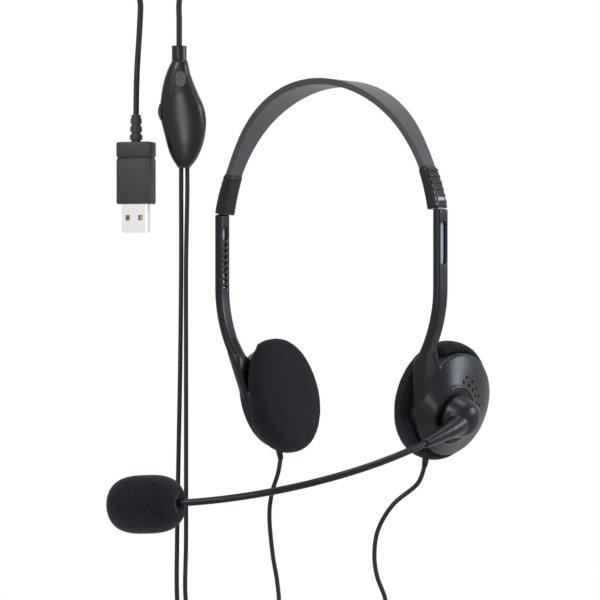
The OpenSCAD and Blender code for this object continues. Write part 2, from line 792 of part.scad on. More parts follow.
// The overmould's outline seen from the wide side.
module plug_body() {
    w = 16;
    t = 8;
    h = 27.5;
    color("#474747") hang(plug_at, hang_turn + plug_turn) difference() {
        union() {
            linear_extrude(h - 4) rounded(w, t, 1.6);
            translate([0, 0, h - 4]) linear_extrude(2.2) rounded(w - 1.4, t - 1, 1.6);
            translate([0, 0, h - 1.8]) linear_extrude(1.8) rounded(w - 4, t - 2, 1.6);
            translate([0, 0, 2]) linear_extrude(16) rounded(w - 4, t + 0.6, 0.4);
        }
        translate([0, 0, h - 7.4]) linear_extrude(0.7) difference() {
            square([30, 30], center = true);
            rounded(w - 1, t - 1, 1.4);
        }
        translate([0, 0, -1]) linear_extrude(9) rounded(usb_w, usb_t, 0.5);
        translate([0, 0, h - 6]) cylinder(h = 10, r = main_cord_d / 2);
    }
}

module plug_strain_relief() {
    z0 = 27.5;
    color("#474747") hang(plug_at, hang_turn + plug_turn) difference() {
        union() {
            translate([0, 0, z0]) cylinder(h = 12, r = 2.1);
            for (i = [0 : 2]) translate([0, 0, z0 + 1 + i * 3.6]) cylinder(h = 2.2, r = 2.8 - 0.15 * i);
        }
        translate([0, 0, z0 - 1]) cylinder(h = 20, r = main_cord_d / 2);
    }
}

module usb_shell() {
    wall = 0.3;
    depth = 6;
    color("silver") hang(plug_at, hang_turn + plug_turn) difference() {
        translate([0, 0, -usb_len]) linear_extrude(usb_len + depth) rounded(usb_w, usb_t, 0.5);
        translate([0, 0, -usb_len - 1]) linear_extrude(usb_len + depth)
            rounded(usb_w - 2 * wall, usb_t - 2 * wall, 0.3);
        for (x = [-3, 3]) translate([x - 1.1, -usb_t, -usb_len + 5.2]) cube([2.2, 2 * usb_t, 2.4]);
    }
}

module usb_insert() {
    color("#e8e8e6") hang(plug_at, hang_turn + plug_turn)
        translate([-usb_w / 2 + 0.7, 0.1, -usb_len + 0.6])
        cube([usb_w - 1.4, usb_t / 2 - 0.45, usb_len + 4]);
}

module usb_contacts() {
    color("gold") hang(plug_at, hang_turn + plug_turn) for (x = [-3.5, -1, 1, 3.5])
        translate([x - 0.5, -0.1, -usb_len + 1.5]) cube([1, 0.2, 9]);
}

module main_cord() {
    color(cord_black) tube(route(main_route, 4), main_cord_d);
}

module plug_cord() {
    color(cord_black) tube(route(plug_route, 4), main_cord_d);
}

headband();
band_end(1);  // left_band_end
band_end(-1);  // right_band_end
tongue(1);  // left_tongue
tongue(-1);  // right_tongue
detent_spring(1);  // left_detent_spring
detent_spring(-1);  // right_detent_spring
cup_shell(1);  // left_cup_shell
cup_shell(-1);  // right_cup_shell
baffle(1);  // left_baffle
baffle(-1);  // right_baffle
driver_frame(1);  // left_driver_frame
driver_frame(-1);  // right_driver_frame
magnet(1);  // left_magnet
magnet(-1);  // right_magnet
diaphragm(1);  // left_diaphragm
diaphragm(-1);  // right_diaphragm
damping_disc(1);  // left_damping_disc
damping_disc(-1);  // right_damping_disc
baffle_screws(1);  // left_baffle_screws
baffle_screws(-1);  // right_baffle_screws
ear_pad(1);  // left_ear_pad
ear_pad(-1);  // right_ear_pad
cord_grommet(1);  // left_cord_grommet
cord_grommet(-1);  // right_cord_grommet
color(cord_black) tube(route(left_route, 4), ear_cord_d);  // left_ear_cord
color(cord_black) tube(route(right_route, 4), ear_cord_d);  // right_ear_cord
boom_hub();
boom_washer();
boom_retainer();
boom_sleeve();
boom_tube();
mic_housing();
mic_capsule();
mic_windscreen();
control_front();
control_back();
control_board();
control_screws();
control_collar();
volume_pot();
volume_wheel();
mute_switch();
mute_knob();
main_cord();
cord_coil();
cord_tie();
plug_cord();
plug_body();
plug_strain_relief();
usb_shell();
usb_insert();
usb_contacts();
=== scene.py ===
"""Office headset.

A one-piece band with two sliding ear cups, a swinging boom, an in-line control and a USB plug.
"""

import logging
import math
from collections.abc import Sequence
from dataclasses import dataclass, field
from enum import Enum

import bmesh
import bpy
from mathutils import Matrix, Vector


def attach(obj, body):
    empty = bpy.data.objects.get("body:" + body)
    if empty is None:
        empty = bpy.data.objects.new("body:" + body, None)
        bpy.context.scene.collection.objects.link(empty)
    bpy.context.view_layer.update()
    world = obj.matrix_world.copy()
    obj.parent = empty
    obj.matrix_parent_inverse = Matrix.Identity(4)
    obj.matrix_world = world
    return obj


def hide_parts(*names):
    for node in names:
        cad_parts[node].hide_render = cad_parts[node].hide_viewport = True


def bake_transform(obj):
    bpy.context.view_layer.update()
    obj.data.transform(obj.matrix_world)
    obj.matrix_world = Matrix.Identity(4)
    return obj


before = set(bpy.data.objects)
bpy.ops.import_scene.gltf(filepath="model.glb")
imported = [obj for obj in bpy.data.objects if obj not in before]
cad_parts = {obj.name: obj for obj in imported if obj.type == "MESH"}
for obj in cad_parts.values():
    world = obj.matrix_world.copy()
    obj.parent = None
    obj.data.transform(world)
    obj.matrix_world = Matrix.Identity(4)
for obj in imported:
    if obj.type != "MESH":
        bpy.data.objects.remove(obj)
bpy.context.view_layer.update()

MM = 0.001
WELD = 0.001 * MM
WAVE_STEPS = 20

Pair = tuple[float, float]
Triple = tuple[float, float, float]
Piece = bpy.types.Object
Shape = bmesh.types.BMesh

log = logging.getLogger("headset")


class Side(Enum):
    """The side of the head a piece belongs to; the value is its direction along X."""

    LEFT = 1
    RIGHT = -1

    @property
    def word(self) -> str:
        """The side's name at the start of a node's name."""
        return self.name.lower()

    @property
    def body(self) -> str:
        """The body that this side's cup moves with."""
        return f"{self.word}_cup"

    @property
    def mirror(self) -> Matrix:
        """The left side as it is, or mirrored to the right."""
        return Matrix.Diagonal((self.value, 1, 1, 1))


class Grain(Enum):
    """The kinds of fine relief a surface can have."""

    NONE = "none"
    SPARK = "spark-eroded mould"
    PORES = "open foam"
    BRUSHED = "brushed along Z"
    LINES = "moulded lines across Y"
    RIBS = "extruded rings across Z"


# ---------------------------------------------------------------- helpers


def linear(code: str) -> tuple[float, float, float, float]:
    """Turns an sRGB hex colour to linear light.

    Args:
        code: The colour, such as "#1e2025".

    Returns:
        Red, green, blue and an alpha of 1.
    """
    parts = [int(code[i : i + 2], 16) / 255 for i in (1, 3, 5)]
    red, green, blue = (p / 12.92 if p <= 0.04045 else ((p + 0.055) / 1.055) ** 2.4 for p in parts)
    return red, green, blue, 1.0


def add_node(tree: bpy.types.NodeTree, kind: str, inputs: dict | None = None, **settings) -> bpy.types.Node:
    """Adds a shader node with its settings and links.

    Args:
        tree: The tree that gets the node.
        kind: The node's type, without its "ShaderNode".
        inputs: By input name or number, a socket to link or a value to set.
        settings: The node's own properties.

    Returns:
        The new node.
    """
    node = tree.nodes.new(f"ShaderNode{kind}")
    for name, value in settings.items():
        setattr(node, name, value)
    for name, value in (inputs or {}).items():
        if isinstance(value, bpy.types.NodeSocket):
            tree.links.new(value, node.inputs[name])
        else:
            node.inputs[name].default_value = value
    return node


def turned(degrees: float, axis: str) -> Matrix:
    """A turn about one of the axes."""
    return Matrix.Rotation(math.radians(degrees), 4, axis)


def moved(x: float, y: float, z: float) -> Matrix:
    """A shift, given in millimetres."""
    return Matrix.Translation(Vector((x, y, z)) * MM)


def outward(shape: Shape) -> Shape:
    """Turns a shape's faces outward, and gives the shape back."""
    bmesh.ops.recalc_face_normals(shape, faces=shape.faces)
    return shape


def point_in(place: Matrix, x: float, y: float, z: float) -> Vector:
    """A point of a frame, given in millimetres."""
    return place @ (Vector((x, y, z)) * MM)


def arc(centre: Pair, radius: float, start: float, end: float, steps: int) -> list[Pair]:
    """Points along an arc of an outline.

    Args:
        centre: The arc's centre, as radius and height.
        radius: The arc's radius.
        start: The first angle in degrees, from the outward direction towards +height.
        end: The last angle in degrees.
        steps: The number of pieces it is cut in.

    Returns:
        The points, both ends included.
    """
    angles = [math.radians(start + (end - start) * i / steps) for i in range(steps + 1)]
    return [(centre[0] + radius * math.cos(a), centre[1] + radius * math.sin(a)) for a in angles]


def lathed(outline: Sequence[Pair], place: Matrix, steps: int) -> Shape:
    """Spins an outline about Z and puts it in its place.

    Args:
        outline: Radius and height of each point in millimetres, from pole to pole.
        place: Where the shape's own frame lies.
        steps: The number of steps round the axis.

    Returns:
        The closed shape, with its faces outward.
    """
    shape = bmesh.new()
    points = [shape.verts.new((radius * MM, 0, height * MM)) for radius, height in outline]
    edges = [shape.edges.new(pair) for pair in zip(points, points[1:])]
    bmesh.ops.spin(
        shape, geom=points + edges, cent=(0, 0, 0), axis=(0, 0, 1), angle=math.tau,
        steps=steps, use_merge=True,
    )
    bmesh.ops.remove_doubles(shape, verts=shape.verts, dist=WELD)
    bmesh.ops.transform(shape, matrix=place, verts=shape.verts)
    return outward(shape)


def placed(name: str, data: bpy.types.ID) -> Piece:
    """An object of some data, in the scene."""
    made = bpy.data.objects.new(name, data)
    bpy.context.scene.collection.objects.link(made)
    return made


def evaluated(piece: Piece) -> Piece:
    """A piece with its modifiers applied."""
    return piece.evaluated_get(bpy.context.evaluated_depsgraph_get())


def as_piece(name: str, shape: Shape) -> Piece:
    """Makes an object of a shape, with smooth shading.

    Args:
        name: The piece's name.
        shape: The shape, which is freed.

    Returns:
        The object, at the origin.
    """
    for face in shape.faces:
        face.smooth = True
    mesh = bpy.data.meshes.new(name)
    shape.to_mesh(mesh)
    shape.free()
    log.info("made %s, %d faces", name, len(mesh.polygons))
    return placed(name, mesh)


def spline(points: Sequence[Vector], steps: int) -> list[Vector]:
    """A smooth open curve through the points.

    Args:
        points: The points it passes through.
        steps: The number of pieces between each two.

    Returns:
        Points along the curve, both ends included.
    """
    last = len(points) - 1
    curve = []
    for i in range(last):
        a, b, c, d = (points[max(0, min(last, i + k))] for k in (-1, 0, 1, 2))
        for k in range(steps):
            t = k / steps
            square = (2 * a - 5 * b + 4 * c - d) * t * t
            cube = (3 * b - a - 3 * c + d) * t**3
            curve.append(0.5 * (2 * b + (c - a) * t + square + cube))
    return curve + [points[last].copy()]


def shape_of(mesh: bpy.types.Mesh, weld: float = WELD) -> Shape:
    """A mesh as a shape, with the points that lie within weld joined and its faces outward."""
    shape = bmesh.new()
    shape.from_mesh(mesh)
    bmesh.ops.remove_doubles(shape, verts=shape.verts, dist=weld)
    return outward(shape)


def finish_mesh(piece: Piece) -> None:
    """Applies a piece's live modifiers to its mesh, and turns its faces outward."""
    mesh = bpy.data.meshes.new_from_object(evaluated(piece))
    piece.modifiers.clear()
    piece.data = mesh
    shape = shape_of(mesh)
    shape.to_mesh(mesh)
    shape.free()


def even_out(piece: Piece, size_mm: float) -> None:
    """Rebuilds a piece with even faces of a size, which joins the bodies that overlap in it."""
    modifier = piece.modifiers.new("even", "REMESH")
    modifier.mode = "VOXEL"
    modifier.voxel_size = size_mm * MM
    modifier.use_smooth_shade = True
    finish_mesh(piece)


def soften(piece: Piece, passes: int) -> None:
    """Rounds a piece's edges a little with each pass."""
    shape = bmesh.new()
    shape.from_mesh(piece.data)
    for _ in range(passes):
        bmesh.ops.smooth_vert(
            shape, verts=shape.verts, factor=0.5, use_axis_x=True, use_axis_y=True, use_axis_z=True
        )
    outward(shape)
    for face in shape.faces:
        face.smooth = True
    shape.to_mesh(piece.data)
    shape.free()


def cut_out(piece: Piece, cutter: Shape) -> None:
    """Cuts a shape out of a piece.

    Args:
        piece: The piece, closed.
        cutter: The closed shape to cut away, which is freed.
    """
    tool = as_piece(f"{piece.name}_cutter", cutter)
    modifier = piece.modifiers.new("cut", "BOOLEAN")
    modifier.operation = "DIFFERENCE"
    modifier.solver = "EXACT"
    modifier.object = tool
    finish_mesh(piece)
    bpy.data.objects.remove(tool)


def add_bar(
    shape: Shape, size: Triple, place: Matrix, edge: float = 0.0, segments: int = 3
) -> None:
    """Adds a box with rounded edges to a shape.

    Args:
        shape: The shape that gets it.
        size: The box's sides in millimetres.
        place: Where its middle lies.
        edge: The radius of its edges in millimetres, or 0 for crisp ones.
        segments: The number of faces across each rounded edge.
    """
    bar = bmesh.new()
    bmesh.ops.create_cube(bar, size=1, matrix=Matrix.Diagonal((*[side * MM for side in size], 1)))
    if edge:
        bmesh.ops.bevel(
            bar, geom=bar.edges, offset=edge * MM, affect="EDGES", segments=segments, profile=0.5, material=-1
        )
    bmesh.ops.transform(bar, matrix=place, verts=bar.verts)
    absorb(shape, outward(bar))


def add_rod(
    shape: Shape, radius: float, length: float, place: Matrix, end_radius: float | None = None
) -> None:
    """Adds a rod, or a cone with end_radius, whose middle is at the place and whose axis is its Z.

    Args:
        shape: The shape that gets it.
        radius: Its radius in millimetres.
        length: Its length in millimetres.
        place: Where its middle lies.
        end_radius: The radius at its far end, where that differs.
    """
    rod = bmesh.new()
    bmesh.ops.create_cone(
        rod,
        cap_ends=True,
        segments=24,
        radius1=radius * MM,
        radius2=(radius if end_radius is None else end_radius) * MM,
        depth=length * MM,
        matrix=place,
    )
    absorb(shape, outward(rod))


def absorb(shape: Shape, extra: Shape) -> None:
    """Adds one shape to another, and frees the one that was added."""
    mesh = bpy.data.meshes.new("extra")
    extra.to_mesh(mesh)
    extra.free()
    shape.from_mesh(mesh)
    bpy.data.meshes.remove(mesh)


def hulled(spots: Sequence[Vector]) -> Shape:
    """Stretches a skin round points.

    Args:
        spots: The points.

    Returns:
        The closed convex shape, with its faces outward.
    """
    shape = bmesh.new()
    for spot in spots:
        shape.verts.new(spot)
    hull = bmesh.ops.convex_hull(shape, input=shape.verts)
    inside = hull["geom_interior"] + hull["geom_unused"]
    spare = {item for item in inside if isinstance(item, bmesh.types.BMVert)}
    bmesh.ops.delete(shape, geom=list(spare), context="VERTS")
    return outward(shape)


def loft(rings: Sequence[Sequence[Vector]]) -> Shape:
    """Joins rings of equal length into one closed skin.

    Args:
        rings: The rings in order, each a list of points.

    Returns:
        The closed shape, with its faces outward.
    """
    shape = bmesh.new()
    loops = []
    for ring in rings:
        points = [shape.verts.new(point) for point in ring]
        loops.append([shape.edges.new((points[i - 1], points[i])) for i in range(len(points))])
    for below, above in zip(loops, loops[1:]):
        bmesh.ops.bridge_loops(shape, edges=below + above)
    for end in (loops[0], loops[-1]):
        bmesh.ops.contextual_create(shape, geom=end)
    return outward(shape)


def rounded_ring(width: float, depth: float, fullness: float, steps: int) -> list[Pair]:
    """A ring between an ellipse and a rectangle.

    Args:
        width: Half its width.
        depth: Half its depth.
        fullness: 2 for an ellipse, and more for squarer corners.
        steps: The number of points.

    Returns:
        The points round the ring.
    """
    power = 2 / fullness
    ring = []
    for i in range(steps):
        angle = math.tau * (i + 0.5) / steps
        across, deep = math.cos(angle), math.sin(angle)
        ring.append(
            (
                width * math.copysign(abs(across) ** power, across),
                depth * math.copysign(abs(deep) ** power, deep),
            )
        )
    return ring


def cord_curve(name: str, line: Sequence[Vector], diameter: float) -> Piece:
    """A round cord as a curve of one open spline.

    Args:
        name: The piece's name.
        line: Its centreline in metres.
        diameter: Its diameter in metres.

    Returns:
        The curve object.
    """
    curve = bpy.data.curves.new(name, "CURVE")
    curve.dimensions = "3D"
    curve.bevel_depth = diameter / 2
    curve.bevel_resolution = 3
    curve.use_fill_caps = True
    path = curve.splines.new("POLY")
    path.points.add(len(line) - 1)
    for point, place in zip(path.points, line):
        point.co = (*place, 1)
    path.use_smooth = True
    return placed(name, curve)


def cord_tube(name: str, line: Sequence[Vector], diameter: float) -> Piece:
    """A round cord as a closed mesh tube.

    Args:
        name: The piece's name.
        line: Its centreline in metres.
        diameter: Its diameter in metres.

    Returns:
        The mesh object.
    """
    draft = cord_curve(f"{name}_draft", line, diameter)
    bpy.context.view_layer.update()
    made = evaluated(draft)
    shape = shape_of(made.to_mesh())
    made.to_mesh_clear()
    curve = draft.data
    bpy.data.objects.remove(draft)
    bpy.data.curves.remove(curve)
    return as_piece(name, shape)


# ---------------------------------------------------------------- finishes


@dataclass(frozen=True)
class Finish:
    """A real material and how its surface was made."""

    name: str
    colour: str
    roughness: float
    specular: float = 0.2
    metallic: float = 0.0
    sheen: float = 0.0
    grain: Grain = Grain.NONE
    grain_mm: float = 0.5
    relief_mm: float = 0.02
    # painted shade: a darker colour for the pores, or empty for none
    pore_shade_colour: str = ""

    def pattern(self, tree: bpy.types.NodeTree) -> bpy.types.NodeSocket:
        """Adds the grain's pattern, at its real size.

        Args:
            tree: The material's tree.

        Returns:
            The socket that gives its height.
        """
        place = add_node(tree, "TexCoord").outputs["Object"]
        cells = 1 / (self.grain_mm * MM)
        if self.grain is Grain.PORES:
            inputs = {"Vector": place, "Scale": cells}
            return add_node(tree, "TexVoronoi", inputs, feature="SMOOTH_F1").outputs["Distance"]
        if self.grain in (Grain.LINES, Grain.RIBS):
            # a wave of scale 1 repeats every 2 pi / WAVE_STEPS of a unit
            inputs = {"Vector": place, "Scale": cells * math.tau / WAVE_STEPS}
            direction = "Y" if self.grain is Grain.LINES else "Z"
            return add_node(tree, "TexWave", inputs, bands_direction=direction).outputs["Fac"]
        if self.grain is Grain.BRUSHED:
            place = add_node(tree, "Mapping", {"Vector": place, "Scale": (1, 1, 0.05)}).outputs[0]
        inputs = {"Vector": place, "Scale": cells, "Detail": 2.0}
        return add_node(tree, "TexNoise", inputs).outputs["Fac"]

    def material(self) -> bpy.types.Material:
        """The material, made once and kept by its name."""
        made = bpy.data.materials.get(self.name)
        if made:
            return made
        made = bpy.data.materials.new(self.name)
        made.use_nodes = True
        tree = made.node_tree
        shader = tree.nodes["Principled BSDF"]
        values = {
            "Base Color": linear(self.colour), "Roughness": self.roughness, "Metallic": self.metallic,
            "Specular IOR Level": self.specular, "Sheen Weight": self.sheen,
        }
        for name, value in values.items():
            shader.inputs[name].default_value = value
        if self.grain is Grain.NONE:
            return made
        height = self.pattern(tree)
        bump = add_node(tree, "Bump", {"Height": height, "Strength": 1.0, "Distance": self.relief_mm * MM})
        tree.links.new(bump.outputs["Normal"], shader.inputs["Normal"])
        # the pores are painted darker by the same pattern as the relief: painted shade in the foam's hollows
        if self.pore_shade_colour:
            ramp = add_node(tree, "ValToRGB", {"Fac": height})
            ramp.color_ramp.elements[0].color = linear(self.colour)
            ramp.color_ramp.elements[1].color = linear(self.pore_shade_colour)
            tree.links.new(ramp.outputs["Color"], shader.inputs["Base Color"])
        return made

    def on(self, *pieces: Piece) -> None:
        """Gives the finish to new pieces."""
        for piece in pieces:
            piece.data.materials.clear()
            piece.data.materials.append(self.material())

    def on_nodes(self, *names: str) -> None:
        """Gives the finish to CAD nodes, in their own material slots."""
        for name in names:
            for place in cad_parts[name].material_slots:
                place.material = self.material()
            log.info("dressed %s in %s", name, self.name)


def hand_over(piece: Piece, finish: Finish, body: str, slot: str, *nodes: str) -> None:
    """Gives a piece its finish and the body it moves with, and hides the CAD nodes it stands for."""
    finish.on(piece)
    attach(piece, body)
    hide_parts(*nodes)


# Black ABS from a lightly spark-eroded mould: satin, with a soft cool highlight.
CUP_ABS = Finish("Black ABS, satin moulded", "#0f1115", 0.34, 0.2, grain=Grain.SPARK, relief_mm=0.004)
# The same ABS from a polished mould: the arms and the boom's joint catch a sharper light.
GLOSS_ABS = Finish("Black ABS, polished moulded", "#0d0f12", 0.28, 0.24)
# Grey polypropylene, which bends without cracking: dull, with fine lines along the band.
BAND_PP = Finish(
    "Grey polypropylene, moulded", "#333536", 0.42, 0.4, grain=Grain.LINES, grain_mm=1.6, relief_mm=0.01
)
# Open-cell polyurethane foam: no gloss, and its pores painted darker than the skin, as painted shade.
PAD_FOAM = Finish(
    "Polyurethane foam, open cell", "#1d1f22", 0.98, 0.05, sheen=0.05,
    grain=Grain.PORES, grain_mm=0.9, relief_mm=0.12, pore_shade_colour="#0e0f11",
)
# A coarser foam, flocked, for the windscreen, with its pores painted darker as painted shade.
SCREEN_FOAM = Finish(
    "Polyurethane foam, reticulated", "#1b1e22", 1.0, 0.05, sheen=0.08,
    grain=Grain.PORES, grain_mm=1.1, relief_mm=0.2, pore_shade_colour="#0b0c0e",
)
# Spring steel strip, drawn and brushed along its length.
SPRING_STEEL = Finish(
    "Stainless spring steel, brushed", "#b4b7bb", 0.34, 0.5, 1.0, grain=Grain.BRUSHED, relief_mm=0.003
)
# The same strip where it slides in the arm: rubbed dull, and it mirrors little in its slot.
TONGUE_STEEL = Finish("Stainless spring steel, dull", "#8b8e93", 0.5, 0.5, 0.35)
# Soft PVC over the wires: dull, with the faint rings of a braid beneath it.
CORD_PVC = Finish("Soft PVC, extruded", "#141414", 0.45, 0.22, grain=Grain.RIBS, grain_mm=1.2, relief_mm=0.06)
# Charcoal ABS with a fine mould texture, a shade lighter than the cups.
CONTROL_ABS = Finish("Charcoal ABS, textured", "#121212", 0.3, 0.24, grain=Grain.SPARK, relief_mm=0.004)
# The knob is moulded in a lighter grey, so that it can be found.
KNOB_ABS = Finish("Grey ABS, textured", "#3c3c3c", 0.45, 0.35, grain=Grain.SPARK, relief_mm=0.006)
# Overmoulded PVC round the plug: dull grey-black.
PLUG_PVC = Finish("Overmoulded PVC, matt", "#2d2d2d", 0.46, 0.2, grain=Grain.SPARK, relief_mm=0.008)
# Stamped steel with bright nickel.
NICKEL = Finish("Nickel-plated steel, bright", "#e0e0de", 0.2, 0.5, 1.0)
# White thermoplastic tongue of the plug.
INSERT_PBT = Finish("White PBT, moulded", "#e4e4e0", 0.45, 0.3)
# Gold flash over nickel on the contacts.
GOLD = Finish("Gold-flashed contact", "#d8b25a", 0.25, 0.5, 1.0)
# Green solder mask over glass-fibre laminate.
BOARD_FR4 = Finish("FR-4 laminate, green mask", "#1f5c35", 0.4, 0.4)
# Thin polyester film of the loudspeaker.
FILM_PET = Finish("PET film, drawn", "#8a8d90", 0.3, 0.4)
# Black acoustic felt, pressed.
FELT = Finish("Polyester felt, pressed", "#101113", 1.0, 0.05, grain=Grain.SPARK, grain_mm=0.8, relief_mm=0.1)
# Woven nylon of the hook tie: dull and nearly black.
TIE_NYLON = Finish("Nylon tie, woven", "#111111", 0.8, 0.15, grain=Grain.RIBS, grain_mm=0.9, relief_mm=0.05)


# ---------------------------------------------------------------- the studio


@dataclass
class Lamp:
    """A square soft light, placed from where the viewer stands."""

    name: str
    across: float
    toward: float
    up: float
    size: float
    watts: float
    colour: str = "#ffffff"


@dataclass
class Studio:
    """The camera, the pale floor and the soft lights."""

    target: Vector = field(default_factory=lambda: Vector((-21.4, -16.7, 44.5)) * MM)
    azimuth: float = 38.0
    distance: float = 1.15
    lens_mm: float = 151.8
    floor_z: float = -160 * MM
    floor_size: float = 6.0
    fade_from: float = 0.25
    fade_to: float = 0.60
    glow_near: float = 0.8
    ambient: float = 0.40
    lamps: tuple[Lamp, ...] = (
        Lamp("key", -0.75, 0.8, 0.75, 0.4, 9.0),
        Lamp("side", 1.2, 0.1, 0.34, 0.4, 11.0, "#e6ecff"),
        Lamp("crown", 0.25, 0.1, 1.3, 0.45, 7.0, "#f2f5ff"),
        Lamp("front", -0.35, 1.15, 0.12, 0.22, 3.0),
    )

    @property
    def toward(self) -> Vector:
        """The level direction from the target to the camera."""
        angle = math.radians(self.azimuth)
        return Vector((math.sin(angle), -math.cos(angle), 0))

    def camera(self) -> None:
        """Makes the camera and gives it to the scene."""
        data = bpy.data.cameras.new("camera")
        data.lens = self.lens_mm
        data.clip_start = 0.05
        data.clip_end = 50
        camera = placed("camera", data)
        camera.location = self.target + self.distance * self.toward
        camera.rotation_euler = (-self.toward).to_track_quat("-Z", "Y").to_euler()
        bpy.context.scene.camera = camera

    def seen_white(self, tree: bpy.types.NodeTree) -> bpy.types.NodeSocket:
        """Adds the factor that is 1 for rays that see a background: direct, glossy or through glass."""
        ray = add_node(tree, "LightPath").outputs
        inputs = {0: ray["Is Camera Ray"], 1: ray["Is Glossy Ray"]}
        first = add_node(tree, "Math", inputs, operation="MAXIMUM")
        inputs = {0: first.outputs[0], 1: ray["Is Transmission Ray"]}
        return add_node(tree, "Math", inputs, operation="MAXIMUM").outputs[0]

    def world(self) -> None:
        """A white surround to look at, and a plain grey one to light by."""
        world = bpy.data.worlds.new("studio")
        world.use_nodes = True
        tree = world.node_tree
        tree.nodes.clear()
        light = add_node(tree, "Background", {"Color": linear("#ffffff"), "Strength": self.ambient})
        white = add_node(tree, "Background", {"Color": linear("#ffffff"), "Strength": 1.0})
        inputs = {0: self.seen_white(tree), 1: light.outputs[0], 2: white.outputs[0]}
        mix = add_node(tree, "MixShader", inputs)
        add_node(tree, "OutputWorld", {"Surface": mix.outputs[0]})
        bpy.context.scene.world = world

    def floor(self) -> None:
        """A plain white floor that keeps a soft shadow."""
        shape = bmesh.new()
        bmesh.ops.create_grid(shape, x_segments=1, y_segments=1, size=self.floor_size / 2)
        bmesh.ops.translate(shape, verts=shape.verts, vec=(0, 0, self.floor_z))
        floor = as_piece("floor", shape)
        paper = bpy.data.materials.new("White background paper")
        paper.use_nodes = True
        tree = paper.node_tree
        tree.nodes.clear()
        matt = add_node(tree, "BsdfDiffuse", {"Color": linear("#f6f6f6")})
        glow = add_node(tree, "Emission", {"Color": linear("#ffffff"), "Strength": 1.0})
        place = add_node(tree, "TexCoord").outputs["Object"]
        reach = add_node(tree, "VectorMath", {0: place}, operation="LENGTH").outputs["Value"]
        # the paper turns to the plain white of the surround before its edge, so that no horizon shows
        span = {"From Min": self.fade_from, "From Max": self.fade_to, "To Min": self.glow_near, "To Max": 1.0}
        fade = add_node(tree, "MapRange", {"Value": reach, **span}, interpolation_type="SMOOTHSTEP")
        inputs = {0: self.seen_white(tree), 1: fade.outputs["Result"]}
        share = add_node(tree, "Math", inputs, operation="MULTIPLY")
        mix = add_node(tree, "MixShader", {0: share.outputs[0], 1: matt.outputs[0], 2: glow.outputs[0]})
        add_node(tree, "OutputMaterial", {"Surface": mix.outputs[0]})
        floor.data.materials.append(paper)

    def lights(self) -> None:
        """The soft lights, each turned to the headset."""
        across = Vector((0, 0, 1)).cross(self.toward)
        for lamp in self.lamps:
            data = bpy.data.lights.new(lamp.name, "AREA")
            data.shape = "SQUARE"
            data.size = lamp.size
            data.energy = lamp.watts
            data.color = linear(lamp.colour)[:3]
            light = placed(lamp.name, data)
            offset = lamp.across * across + lamp.toward * self.toward + Vector((0, 0, lamp.up))
            light.location = self.target + offset
            light.rotation_euler = (-offset).to_track_quat("-Z", "Y").to_euler()

    def build(self) -> None:
        """Makes the whole studio."""
        self.camera()
        self.world()
        self.floor()
        self.lights()
        bpy.context.scene.view_settings.view_transform = "Standard"


# ---------------------------------------------------------------- cords


